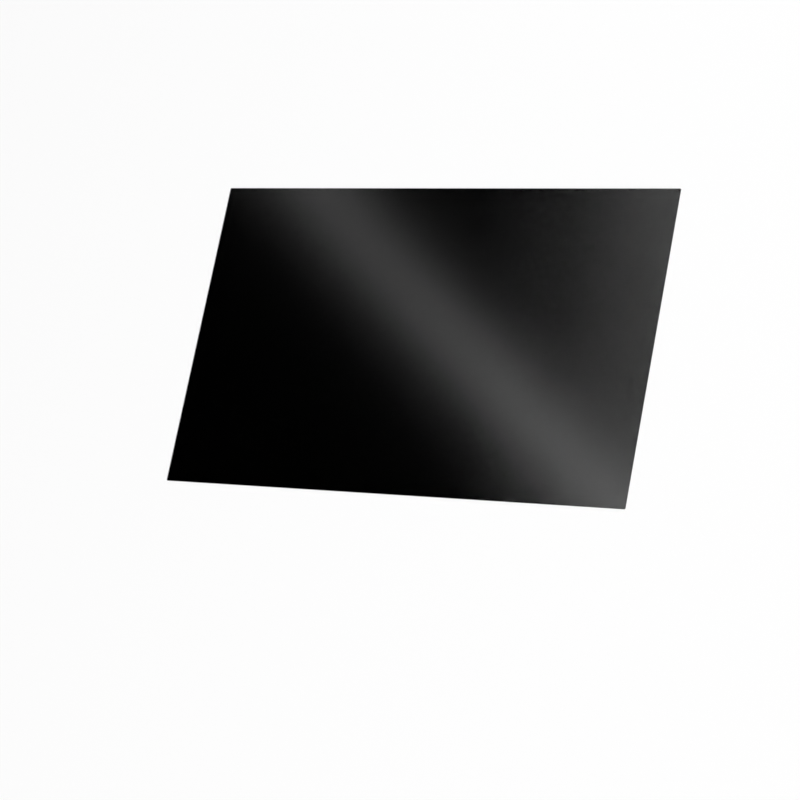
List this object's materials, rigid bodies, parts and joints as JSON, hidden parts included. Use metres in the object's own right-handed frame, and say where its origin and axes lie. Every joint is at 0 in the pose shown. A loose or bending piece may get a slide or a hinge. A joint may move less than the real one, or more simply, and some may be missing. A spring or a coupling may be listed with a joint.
{
  "type": "laptop privacy filter",
  "caption": "Thin, stiff, flat rectangular sheet of dark louvred film that lies on a laptop display and looks black to anyone who sees it from the side.",
  "frame": {"origin": "centre of the back face, the face that lies on the display", "axes": "+X along the width, to the right as the viewer sees it; +Y towards the display's upper edge; +Z out of the front face, towards the viewer"},
  "size_m": [0.2866, 0.179, 0.0005],
  "materials": {
    "louvre_film": "semi-gloss hard coat, black from the side and smoky see-through when seen square on"
  },
  "bodies": {
    "root": {"filter_sheet": "louvre_film"}
  },
  "joints": []
}
